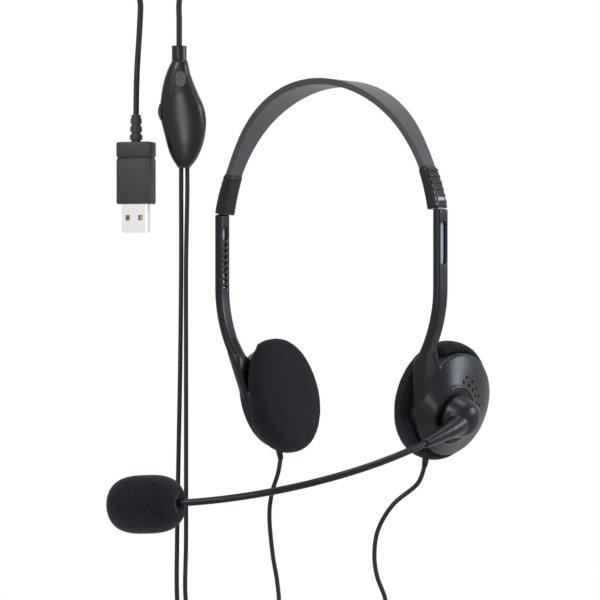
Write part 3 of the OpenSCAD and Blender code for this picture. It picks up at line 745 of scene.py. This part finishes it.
@dataclass
class Cords:
    """The two ear cords, and the main cord with its stored coil. Points are in millimetres."""

    ear_d: float = 2.05
    main_d: float = 2.6
    left_length: float = 0.374
    right_length: float = 0.343
    main_length: float = 1.43
    coil_at: Triple = (-52.6, -77.7, 213)
    hang_turn: float = 38
    coil_r: float = 15
    pitch: float = 2.62
    shift_arc: float = 36
    in_relief: float = 3
    line_steps: int = 6
    turn_step: int = 6
    # where each ear cord stops moving wholly with its cup, and where it stops moving at all
    left_bend: tuple[Triple, Triple] = ((20, -22, 0), (-38, -68, 0))
    right_bend: tuple[Triple, Triple] = ((-41, -10, 0), (-46, -69, 0))
    left_route: tuple = (
        (40.7, -6.6, -28.9), (38, -8.5, -37), (29, -14, -46), (23, -17, -57), (21.5, -18, -68),
        (23, -18, -78), (26, -16, -88), (27, -16, -98), (20, -22, -106), (2, -36, -110),
        (-20, -54, -109), (-38, -68, -103), (-43, -71, -90), (-43, -71, -60), (-43, -71, -20),
        (-43, -71, 20), (-43, -71, 60), (-42.9, -70.3, 90), (-42.9, -70.3, 103),
    )
    right_route: tuple = (
        (-40.7, -6.6, -28.9), (-42, -7, -36), (-45.5, -7, -45), (-47, -7, -56), (-45.5, -6.5, -73),
        (-43, -6, -87), (-41, -8, -98), (-40, -18, -106), (-41, -36, -110), (-44, -56, -108),
        (-46, -70, -100), (-46.5, -73, -88), (-46.5, -73, -60), (-46, -72.5, -20),
        (-45.5, -72, 20), (-45, -72, 60), (-45, -72, 90), (-45, -72, 103),
    )
    main_route: tuple = (
        (-45.7, -72.5, 157), (-45.7, -72.5, 168), (-45.6, -72.4, 178), (-43.2, -70.5, 188),
        (-39.2, -67.3, 197), (-37.7, -66.1, 205),
    )
    plug_route: tuple = (
        (-67.9, -86.7, 205), (-67, -86.4, 197), (-63, -84.9, 188), (-59.7, -83.1, 178),
        (-59.6, -83, 168), (-60.7, -83.8, 145), (-61, -84, 127),
    )
    # The order in which the turns fill the bundle: across in half pitches, and the row.
    places: tuple = (
        (3, 0), (2, -1), (1, -2), (-1, -2), (-2, -1), (0, -1), (1, 0),
        (-1, 0), (-3, 0), (-2, 1), (0, 1), (-1, 2), (1, 2), (2, 1),
    )

    def metres(self, route: Sequence[Triple]) -> list[Vector]:
        """A route's smooth line, in metres."""
        return spline([Vector(point) * MM for point in route], self.line_steps)

    def coil(self) -> list[Vector]:
        """Winds the spare length, each turn in the next place of the bundle.

        Returns:
            The line from the coil's right side, over its top, to its left side.
        """
        row_step = self.pitch * math.sqrt(3) / 2
        spots = [Vector((across * self.pitch / 2, row * row_step)) for across, row in self.places]
        place = moved(*self.coil_at) @ turned(self.hang_turn, "Z")
        line = []
        angle = 0
        for i, spot in enumerate(spots):
            before = spot - spots[i - 1] if i else Vector((0, 0))
            after = spots[i + 1] - spot if i + 1 < len(spots) else Vector((0, 0))
            # a turn that doubles back moves on a little early, so that it doesn't meet the one before
            span = 360 - (self.shift_arc if before.dot(after) < 0 else 0)
            for k in range(span // self.turn_step):
                left = span - k * self.turn_step
                t = max(0.0, 1 - left / self.shift_arc)
                radial, axial = spot + after * (t * t * (3 - 2 * t))
                turn = math.radians(angle + k * self.turn_step)
                radius = self.coil_r + radial
                line.append(point_in(place, radius * math.cos(turn), axial, radius * math.sin(turn)))
            angle += span
        return line

    def ear_cord(self, side: Side, route: tuple, length: float, start: tuple, end: tuple) -> None:
        """Makes one ear cord as a still tube along its route.

        Args:
            side: The cup it comes from.
            route: The points it passes through.
            length: Its real length in metres; not used.
            start: Where it stops moving wholly with the cup, in millimetres; not used.
            end: Where it stops moving at all, in millimetres; not used.
        """
        line = self.metres(route)
        piece = cord_tube(f"{side.word}_ear_cord_sheath", line, self.ear_d * MM)
        CORD_PVC.on(piece)
        side.body
        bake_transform(piece)
        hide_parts(f"{side.word}_ear_cord")

    def main_cord(self) -> None:
        """Makes the cord from the control to the plug, coil and all, as one curve."""
        line = self.metres(self.main_route) + self.coil() + self.metres(self.plug_route)
        line.append(line[-1] - Vector((0, 0, self.in_relief)) * MM)
        piece = cord_curve("main_cord_sheath", line, self.main_d * MM)
        CORD_PVC.on(piece)
        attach(piece, "band")
        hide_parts("main_cord", "cord_coil", "plug_cord")
        TIE_NYLON.on_nodes("cord_tie")

    def build(self) -> None:
        """Makes the three cords."""
        self.ear_cord(Side.LEFT, self.left_route, self.left_length, *self.left_bend)
        self.ear_cord(Side.RIGHT, self.right_route, self.right_length, *self.right_bend)
        self.main_cord()


# ---------------------------------------------------------------- the headset


@dataclass
class Headband:
    """The band, its two moulded ends and the steel tongues. Lengths are in millimetres."""

    arm_x: float = 61.3
    front: float = 24
    arm_top: float = 84.05
    crown_z: float = 143
    crown_r: float = 55.5
    crown_angle: float = 55
    band_t: float = 2.8
    end_len: float = 18
    end_t: float = 4.5
    end_w: float = 9.0
    end_flare: Pair = (0.7, 0.5)
    end_lips: Pair = (0.2, 0.6)
    end_fullness: float = 7
    end_steps: int = 14
    end_corners: int = 32
    rib: Triple = (0.9, 7.6, 1.0)
    rib_edge: float = 0.3
    rib_from: float = 0.9
    rib_spare: float = 0.6
    ribs: int = 6

    @property
    def side_arc(self) -> Triple:
        """The band's flatter side arc: its middle across, its middle up, and its radius."""
        sine = math.sin(math.radians(self.crown_angle))
        radius = (self.arm_x - self.crown_r * sine) / (1 - sine)
        crown_middle = self.crown_z - self.band_t / 2 - self.crown_r
        drop = (radius - self.crown_r) * math.cos(math.radians(self.crown_angle))
        return self.arm_x - radius, crown_middle - drop, radius

    def on_arc(self, height: float, side: Side) -> Matrix:
        """The band's frame at a height: X points out of the band and Z up along it.

        Args:
            height: The height above the ear axis.
            side: The side of the head.

        Returns:
            The frame.
        """
        across, up, radius = self.side_arc
        rise = math.degrees(math.asin((height - up) / radius))
        return side.mirror @ moved(across, -self.front, up) @ turned(-rise, "Y") @ moved(radius, 0, 0)

    def end_at(self, t: float, lip: float = 0) -> Pair:
        """Half a moulded end's thickness and width, t of the way up it and less its lip."""
        thick, wide = self.end_flare
        return (self.end_t + thick * (1 - t) - lip) / 2, (self.end_w + wide * (1 - t) - lip) / 2

    def end(self, side: Side) -> None:
        """Makes a moulded end: a sleeve that grows thicker towards the arm, with grip ribs.

        Args:
            side: The side of the head.
        """
        rings = []
        low, high = self.end_lips
        for i in range(self.end_steps + 1):
            t = i / self.end_steps
            place = self.on_arc(self.arm_top + self.end_len * t, side)
            lip = {0: low, self.end_steps: high}.get(i, 0)
            ring = rounded_ring(*self.end_at(t, lip), self.end_fullness, self.end_corners)
            rings.append([point_in(place, x, y, 0) for x, y in ring])
        shape = loft(rings)
        for i in range(self.ribs):
            t = (i + self.rib_from) / (self.ribs + self.rib_spare)
            place = self.on_arc(self.arm_top + self.end_len * t, side)
            add_bar(shape, self.rib, place @ moved(self.end_at(t)[0], 0, 0), self.rib_edge)
        piece = as_piece(f"{side.word}_end_sleeve", shape)
        hand_over(piece, GLOSS_ABS, "band", "cup_plastic", f"{side.word}_band_end")

    def build(self) -> None:
        """Makes the ends and dresses the rest."""
        BAND_PP.on_nodes("headband")
        for side in Side:
            self.end(side)
            TONGUE_STEEL.on_nodes(f"{side.word}_tongue")
            SPRING_STEEL.on_nodes(f"{side.word}_detent_spring")


@dataclass
class EarCup:
    """One ear cup. Lengths are in millimetres, in a frame whose X points away from the head."""

    side: Side
    pad_x: float = 45
    lean: float = 12
    toe_in: float = 6.5
    pad_r: float = 27
    pad_half: float = 5.9
    edge: float = 4.3
    edge_steps: int = 8
    pocket_r: float = 23.15
    pocket_x: float = 1.4
    voxel: float = 1.7
    # the pad's face: a part of its radius, and how far it stands out there
    bulge: tuple[Pair, ...] = ((0, 0.6), (0.6, 0.35))
    lip: float = 0.4
    # how far past the pocket's floor and wall the foam is held still
    hold: Pair = (0.5, 1)
    pressure: float = 4.0
    frames: int = 20
    cap: float = 1.1
    # where the arm's root passes over the pad: front, back, low and high
    arm_reach: tuple[float, float, float, float] = (-35, -11, -7, 33)
    arm_room: float = 0.7
    arm_fade: float = 2.5
    rim_r: float = 23
    rim_out: float = 3.6
    shoulder: float = 8.5
    wall: float = 1.6
    dome_top: float = 14.5
    dome_r: float = 47.08
    dome_rings: tuple[float, ...] = (4, 8, 12, 15, 18, 20.5, 22.4)
    ring_steps: int = 48
    turn_steps: int = 96
    # the hollow's low end, and the steps of its outline
    hollow: tuple[float, int] = (-4, 10)
    boss: Pair = (-7, -3)
    boss_top: float = 15.3
    # the radius and height of each ring that rounds the boss
    boss_rings: tuple[Pair, ...] = ((13.1, 14.5), (12.4, 15.1), (11, 15.38))
    bore_r: float = 2.6
    bore_len: float = 40
    # the groove's radius, width and depth
    groove: Triple = (12, 0.4, 0.7)
    groove_steps: int = 72
    past: float = 3
    # each row's radius round the boss, its number of holes and its first angle
    vents: tuple[tuple[float, int, float], ...] = ((15, 6, 5), (17.8, 5, 12))
    vent_step: float = 14
    vent_r: float = 0.75
    vent_len: float = 12
    cord_exit: Triple = (2.5, -7, 29.2)
    # the cord boot's radius at its tip and its root, and its length
    boot_size: Triple = (1.25, 2.0, 9)
    arm_low: Triple = (51.04, 24, 16.4)
    arm_turn: float = math.radians(34)
    arm_half: Pair = (1.7, 3.6)
    # how far the fan runs down and up the arm, and how far its two rims lie within the shell's
    fan_reach: Pair = (-1.0, 5.5)
    fan_in: Pair = (0.6, 1.2)
    fan_drop: float = 0.5
    fan_from: float = -60
    fan_to: float = 50
    fan_steps: int = 12
    skin_voxel: float = 0.45
    skin_passes: int = 9

    @property
    def place(self) -> Matrix:
        """Where the cup's own frame lies."""
        return self.side.mirror @ moved(self.pad_x, 0, 0) @ turned(-self.toe_in, "Z") @ turned(self.lean, "Y")

    def pad_outline(self) -> list[Pair]:
        """The pad's outline: a rounded disc with a pocket that takes the shell's rim."""
        centre_r = self.pad_r - self.edge
        centre_x = self.pad_half - self.edge
        outer = arc((centre_r, -centre_x), self.edge, -90, 0, self.edge_steps)
        outer += arc((centre_r, centre_x), self.edge, 0, 90, self.edge_steps)
        face = [(centre_r * part, -self.pad_half - rise) for part, rise in self.bulge]
        radius, deep = self.pocket_r, self.pocket_x
        return face + outer + [(radius, self.pad_half - self.lip), (radius, deep), (0, deep)]

    def make_room(self, piece: Piece) -> None:
        """Presses the pad's lip down where the arm's root passes over it.

        Args:
            piece: The pad, in its place.
        """
        front, back, low, high = self.arm_reach
        into = self.place.inverted()
        for vertex in piece.data.vertices:
            x, y, z = (into @ vertex.co) / MM
            outside = max(y - back, low - z, z - high, 0)
            if x > self.arm_room and outside < self.arm_fade:
                x = self.arm_room + (x - self.arm_room) * outside / self.arm_fade
                vertex.co = point_in(self.place, x, y, z)

    def hold_pocket(self, piece: Piece) -> str:
        """Marks the pad's pocket, which the shell keeps in shape.

        Args:
            piece: The pad.

        Returns:
            The name of the vertex group.
        """
        group = piece.vertex_groups.new(name="held")
        into = self.place.inverted()
        depth, around = self.hold
        for vertex in piece.data.vertices:
            x, y, z = (into @ vertex.co) / MM
            if x > self.pocket_x - depth and math.hypot(y, z) < self.pocket_r + around:
                group.add([vertex.index], 1.0, "REPLACE")
        return group.name

    def puff(self, piece: Piece) -> None:
        """Lets the foam swell under a little pressure, and keeps each point within a cap.

        Args:
            piece: The pad.
        """
        scene = bpy.context.scene
        cloth = piece.modifiers.new("swell", "CLOTH")
        cloth.settings.use_pressure = True
        cloth.settings.uniform_pressure_force = self.pressure
        cloth.settings.effector_weights.gravity = 0
        cloth.settings.vertex_group_mass = self.hold_pocket(piece)
        cloth.point_cache.frame_start = 1
        cloth.point_cache.frame_end = self.frames
        for number in range(1, self.frames + 1):
            scene.frame_set(number)
        places = [vertex.co.copy() for vertex in evaluated(piece).data.vertices]
        piece.modifiers.remove(cloth)
        for vertex, place in zip(piece.data.vertices, places):
            step = place - vertex.co
            step.length = min(step.length, self.cap * MM)
            vertex.co = vertex.co + step
        scene.frame_set(1)

    def pad(self) -> None:
        """Makes the foam pad."""
        shape = lathed(self.pad_outline(), self.place @ turned(90, "Y"), self.turn_steps)
        piece = as_piece(f"{self.side.word}_foam_pad", shape)
        even_out(piece, self.voxel)
        self.puff(piece)
        self.make_room(piece)
        soften(piece, 1)
        finer = piece.modifiers.new("finer", "SUBSURF")
        finer.levels = 1
        finer.render_levels = 1
        hand_over(piece, PAD_FOAM, self.side.body, "foam", f"{self.side.word}_ear_pad")

    def dome_at(self, radius: float, wall: float = 0) -> float:
        """How far out the dome lies at a radius, or its hollow at a depth of one wall."""
        return self.dome_top - self.dome_r + math.sqrt((self.dome_r - wall) ** 2 - radius**2)

    def fan(self) -> list[Vector]:
        """The corners of the fan of plastic in which the arm spreads into the shell's front."""
        spots = []
        outs = (self.rim_out, self.shoulder - self.fan_drop)
        for i in range(self.fan_steps + 1):
            angle = math.radians(self.fan_from + (self.fan_to - self.fan_from) * i / self.fan_steps)
            for inset, out in zip(self.fan_in, outs):
                radius = self.rim_r - inset
                spots.append(point_in(self.place, out, -radius * math.cos(angle), radius * math.sin(angle)))
        low = Vector((self.arm_low[0], -self.arm_low[1], self.arm_low[2]))
        along = Vector((math.sin(self.arm_turn), 0, math.cos(self.arm_turn)))
        for step in self.fan_reach:
            for y in (-1, 1):
                for x in (-1, 1):
                    corner = low + along * step + Vector((x * self.arm_half[0], y * self.arm_half[1], 0))
                    spots.append(point_in(self.side.mirror, *corner))
        return spots

    def crown(self) -> list[Vector]:
        """The points of the dome, and on the left of the boss that rises out of it."""
        boss_y, boss_z = self.boss
        rings = [(self.dome_at(radius), 0, 0, radius) for radius in self.dome_rings]
        if self.side is Side.LEFT:
            rings += [(top, boss_y, boss_z, radius) for radius, top in self.boss_rings]
        spots = []
        for out, y, z, radius in rings:
            for i in range(self.ring_steps):
                angle = math.tau * i / self.ring_steps
                across, up = radius * math.cos(angle), radius * math.sin(angle)
                spots.append(point_in(self.place, out, y + across, z + up))
        return spots

    def web(self) -> Piece:
        """The plastic that smooths the dome into its boss and its arm, hollow like the shell.

        Returns:
            A closed piece that overlaps the shell and the arm.
        """
        shape = hulled(self.fan())
        absorb(shape, hulled(self.crown()))
        piece = as_piece(f"{self.side.word}_web", shape)
        even_out(piece, self.skin_voxel)
        inner = self.rim_r - self.wall
        low, steps = self.hollow
        radii = [inner * k / steps for k in range(steps, -1, -1)]
        outline = [(0, low), (inner, low), *((radius, self.dome_at(radius, self.wall)) for radius in radii)]
        cut_out(piece, lathed(outline, self.place @ turned(90, "Y"), self.turn_steps))
        return piece

    def openings(self) -> Shape:
        """The vents, and on the left the pivot's bore and the groove round the boss, to cut away."""
        shape = bmesh.new()
        boss_y, boss_z = self.boss
        for ring_r, count, first in self.vents:
            for i in range(count):
                angle = math.radians(first + self.vent_step * i)
                y = boss_y + ring_r * math.cos(angle)
                z = boss_z + ring_r * math.sin(angle)
                vent = self.place @ moved(self.shoulder + self.past, y, z) @ turned(90, "Y")
                add_rod(shape, self.vent_r, self.vent_len, vent)
        if self.side is Side.LEFT:
            hub = self.place @ moved(0, boss_y, boss_z) @ turned(90, "Y")
            add_rod(shape, self.bore_r, self.bore_len, hub)
            ring, wide, deep = self.groove
            low, high = self.boss_top - deep, self.boss_top + self.past
            wall = [(ring, low), (ring + wide, low), (ring + wide, high), (ring, high), (ring, low)]
            absorb(shape, lathed(wall, hub, self.groove_steps))
        return shape

    def shell(self) -> None:
        """Makes the cup's smooth shell, into which its arm spreads."""
        word = self.side.word
        shape = shape_of(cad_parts[f"{word}_cup_shell"].data, 5 * WELD)
        web = self.web()
        shape.from_mesh(web.data)
        bpy.data.objects.remove(web)
        piece = as_piece(f"{word}_cup_skin", shape)
        even_out(piece, self.skin_voxel)
        soften(piece, self.skin_passes)
        cut_out(piece, self.openings())
        hand_over(piece, CUP_ABS, self.side.body, "cup_plastic", f"{word}_cup_shell")

    def boot(self) -> None:
        """Makes the short soft boot in which the cord leaves the pad's edge."""
        x, y, end = self.cord_exit
        narrow, wide, length = self.boot_size
        shape = bmesh.new()
        add_rod(shape, narrow, length, self.place @ moved(x, y, -end + length / 2), wide)
        piece = as_piece(f"{self.side.word}_cord_boot", shape)
        hand_over(piece, CORD_PVC, self.side.body, "cord", f"{self.side.word}_cord_grommet")

    def build(self) -> None:
        """Makes the soft and smooth pieces and dresses the rest."""
        word = self.side.word
        self.shell()
        self.pad()
        self.boot()
        CUP_ABS.on_nodes(f"{word}_baffle", f"{word}_driver_frame")
        SPRING_STEEL.on_nodes(f"{word}_magnet", f"{word}_baffle_screws")
        FILM_PET.on_nodes(f"{word}_diaphragm")
        FELT.on_nodes(f"{word}_damping_disc")


@dataclass
class Boom:
    """The microphone boom. Lengths are in millimetres, in the left cup's frame."""

    cup: EarCup
    pivot: Triple = (24.3, -7, -3)
    pitch: float = 18
    tilt: float = -7.7
    sleeve: float = 30
    bend_r: float = 107
    bend: float = 64
    pin_r: float = 2.5
    pin_end: float = 8.45
    pin_into: float = 1
    # the radius and height of each point
    knob: tuple[Pair, ...] = (
        (0, 15.72), (9.6, 15.72), (9.7, 17.2), (9.1, 19.2), (8.4, 21.2), (7.5, 23.2),
        (5.9, 25), (3.4, 26.1), (0, 26.5),
    )
    knob_steps: int = 64
    # each ring's middle across and along the stem, and its radius
    stem: tuple[Triple, ...] = (
        (-4, -1, 4.4), (-3, 3, 4.9), (-1.7, 8, 4.4), (-0.8, 13, 3.8), (-0.2, 19, 3.1),
        (0, 25, 2.6), (0, 29.6, 2.35),
    )
    stem_steps: int = 32
    voxel: float = 0.36
    passes: int = 9
    screen_r: float = 12.4
    screen_len: float = 33
    screen_back: float = 7.5
    screen_fullness: float = 2.9
    screen_steps: int = 72
    mouth: tuple[Pair, ...] = ((0, -1.0), (1.7, -1.0), (2.1, -5.9))
    mouth_angle: int = -72
    screen_turn: int = 6

    @property
    def ahead(self) -> Matrix:
        """The frame at the pivot, whose -Y runs along the sleeve."""
        return self.cup.place @ moved(*self.pivot) @ turned(self.pitch, "X") @ turned(self.tilt, "Y")

    @property
    def mic_place(self) -> Matrix:
        """The frame at the microphone, whose Z runs on along the boom."""
        bend = moved(-self.bend_r, -self.sleeve, 0) @ turned(-self.bend, "Z") @ moved(self.bend_r, 0, 0)
        return self.ahead @ bend @ turned(90, "X")

    def windscreen(self) -> None:
        """Makes the foam windscreen: a full, rounded barrel with a mouth drawn in round the boom."""
        half = self.screen_len / 2
        middle = half - self.screen_back
        power = 2 / self.screen_fullness
        outline = list(self.mouth)
        for degrees in range(self.mouth_angle, 90, self.screen_turn):
            angle = math.radians(degrees)
            rise = math.copysign(abs(math.sin(angle)) ** power, angle)
            outline.append((self.screen_r * math.cos(angle) ** power, middle + half * rise))
        outline.append((0, middle + half))
        piece = as_piece("foam_windscreen", lathed(outline, self.mic_place, self.screen_steps))
        hand_over(piece, SCREEN_FOAM, "boom", "foam", "mic_windscreen")

    def elbow(self) -> None:
        """Makes the boom's joint: a round knob with its pin, which flows into a tapered sleeve."""
        _, y, z = self.pivot
        axis = self.cup.place @ moved(0, y, z) @ turned(90, "Y")
        shape = lathed(self.knob, axis, self.knob_steps)
        pin_root = self.knob[0][1] + self.pin_into
        pin = axis @ moved(0, 0, (pin_root + self.pin_end) / 2)
        add_rod(shape, self.pin_r, pin_root - self.pin_end, pin)
        rings = []
        for x, along, radius in self.stem:
            ring = []
            for i in range(self.stem_steps):
                angle = math.tau * i / self.stem_steps
                across, up = radius * math.cos(angle), radius * math.sin(angle)
                ring.append(point_in(self.ahead, x + across, -along, up))
            rings.append(ring)
        absorb(shape, loft(rings))
        piece = as_piece("boom_elbow", shape)
        even_out(piece, self.voxel)
        soften(piece, self.passes)
        hand_over(piece, CUP_ABS, "boom", "cup_plastic", "boom_hub", "boom_sleeve")

    def build(self) -> None:
        """Makes the joint and the windscreen and dresses the rest."""
        self.elbow()
        self.windscreen()
        GLOSS_ABS.on_nodes("mic_housing")
        CUP_ABS.on_nodes("boom_tube")
        SPRING_STEEL.on_nodes("boom_washer", "boom_retainer", "mic_capsule")


@dataclass
class InlineControl:
    """The control on the cord, with its volume wheel and mute knob. Lengths are in millimetres."""

    case = "control_case"
    nodes = (
        "control_collar", "control_board", "control_screws", "volume_pot", "mute_switch", "volume_wheel",
        "mute_knob",
    )
    at: Triple = (-44.3, -71.4, 130.4)
    turn: float = 38
    half_t: float = 5.75
    left_edge: tuple[Pair, ...] = (
        (20.2, -5.2), (12.5, -8.2), (4, -9.9), (-4.5, -10.1), (-13, -8.2), (-21, -6), (-27.3, -2.6),
    )
    right_edge: tuple[Pair, ...] = (
        (20.2, 2), (14, 3.3), (6, 6.4), (-0.5, 9.2), (-7.5, 10.2), (-16, 9), (-23, 6.2), (-27.3, 3),
    )
    steps: int = 44
    corners: int = 48
    fullness: float = 2.1
    # the share of its depth and width that a ring keeps at the ends, and what it gains in the first rings
    end_deep: Pair = (0.82, 0.18)
    end_wide: Pair = (0.94, 0.06)
    end_rings: float = 3
    end_start: float = 0.6
    # a narrow ring is shallower: the least share of the depth, and the half width that adds the rest
    slim: Pair = (0.62, 22)
    ridge: float = 0.3
    recess: tuple[float, float, float, float] = (-0.9, 10.2, 5.0, 10.4)
    recess_depth: float = 1.1
    recess_flat: float = 0.1
    recess_faces: int = 8

    @property
    def place(self) -> Matrix:
        """The control's own frame, which faces its knob along -Y."""
        return moved(*self.at) @ turned(self.turn, "Z")

    @staticmethod
    def edge_at(edge: Sequence[Pair], height: float) -> float:
        """How far across an edge lies at a height.

        Args:
            edge: Heights from the top down, each with its place across.
            height: The height.

        Returns:
            The place across, on a smooth curve.
        """
        line = spline([Vector((across, up, 0)) for up, across in edge], steps=12)
        for above, below in zip(line, line[1:]):
            if above.y >= height >= below.y:
                return above.x + (below.x - above.x) * (above.y - height) / max(above.y - below.y, 1e-9)
        return line[0].x if height > line[0].y else line[-1].x

    def body(self) -> None:
        """Makes the two shells as one pillow with a recess for the knob."""
        top, bottom = self.left_edge[0][0], self.left_edge[-1][0]
        rings = []
        for i in range(self.steps + 1):
            height = top + (bottom - top) * i / self.steps
            left, right = self.edge_at(self.left_edge, height), self.edge_at(self.right_edge, height)
            middle, half = (left + right) / 2, (right - left) / 2
            near = min(i + self.end_start, self.steps - i + self.end_start)
            ends = min(1.0, near / self.end_rings)
            deep = self.half_t * min(1.0, self.slim[0] + half / self.slim[1])
            deep *= self.end_deep[0] + self.end_deep[1] * ends
            wide = half * (self.end_wide[0] + self.end_wide[1] * ends)
            ring = []
            for x, y in rounded_ring(wide, deep, self.fullness, self.corners):
                # the front's ridge lies right of the middle
                ring.append(point_in(self.place, middle + x + self.ridge * (half - abs(x)), y, height))
            rings.append(ring)
        piece = as_piece(self.case, loft(rings))
        x, z, wide, high = self.recess
        pocket = bmesh.new()
        front = self.place @ moved(x, -self.half_t, z)
        edge = wide / 2 - self.recess_flat
        add_bar(pocket, (wide, 2 * self.recess_depth, high), front, edge, self.recess_faces)
        cut_out(piece, pocket)
        hand_over(piece, CONTROL_ABS, "band", "control_plastic", "control_front", "control_back")

    def build(self) -> None:
        """Makes the case and dresses the rest."""
        self.body()
        CONTROL_ABS.on_nodes("control_collar", "volume_wheel")
        KNOB_ABS.on_nodes("mute_knob")
        BOARD_FR4.on_nodes("control_board")
        SPRING_STEEL.on_nodes("control_screws", "volume_pot", "mute_switch")


@dataclass
class UsbPlug:
    """The plug, in its bare overmould. Lengths are in millimetres."""

    overmould_name = "plug_overmould"
    nodes = ("plug_strain_relief", "usb_shell", "usb_insert", "usb_contacts")
    at: Triple = (-61, -84, 87)
    turn: float = 20
    width: float = 16
    depth: float = 8
    height: float = 27.5
    cap: float = 6.9
    groove: float = 0.5

    def overmould(self) -> None:
        """Makes the overmould: a cap, a fine groove, and a body with a raised bare panel."""
        place = moved(*self.at) @ turned(self.turn, "Z")
        low = self.height - self.cap - self.groove
        # the cap, the waist in the groove, the body and its panel: wider and deeper than the plug by
        # so much, how tall, how high its middle lies, and its edges' radius
        bars = (
            (0.2, 0.2, self.cap, self.height - self.cap / 2, 0.9),
            (-1, -1, 3, low + self.groove / 2, 0),
            (0, 0, low, low / 2, 0.7),
            (-3.4, 0.5, low - 3, low / 2, 0.2),
        )
        shape = bmesh.new()
        for wider, deeper, tall, middle, edge in bars:
            size = (self.width + wider, self.depth + deeper, tall)
            add_bar(shape, size, place @ moved(0, 0, middle), edge)
        piece = as_piece(self.overmould_name, shape)
        hand_over(piece, PLUG_PVC, "band", "plug_plastic", "plug_body")

    def build(self) -> None:
        """Makes the overmould and dresses the rest."""
        self.overmould()
        PLUG_PVC.on_nodes("plug_strain_relief")
        NICKEL.on_nodes("usb_shell")
        INSERT_PBT.on_nodes("usb_insert")
        GOLD.on_nodes("usb_contacts")


def main() -> None:
    """Builds the studio, the headset and then its cords."""
    logging.basicConfig(level=logging.INFO, format="%(name)s: %(message)s")
    cups = {side: EarCup(side) for side in Side}
    parts = (Studio(), Headband(), *cups.values(), Boom(cups[Side.LEFT]), InlineControl(), UsbPlug())
    # the cords come last
    for part in (*parts, Cords()):
        part.build()


if __name__ == "__main__":
    main()
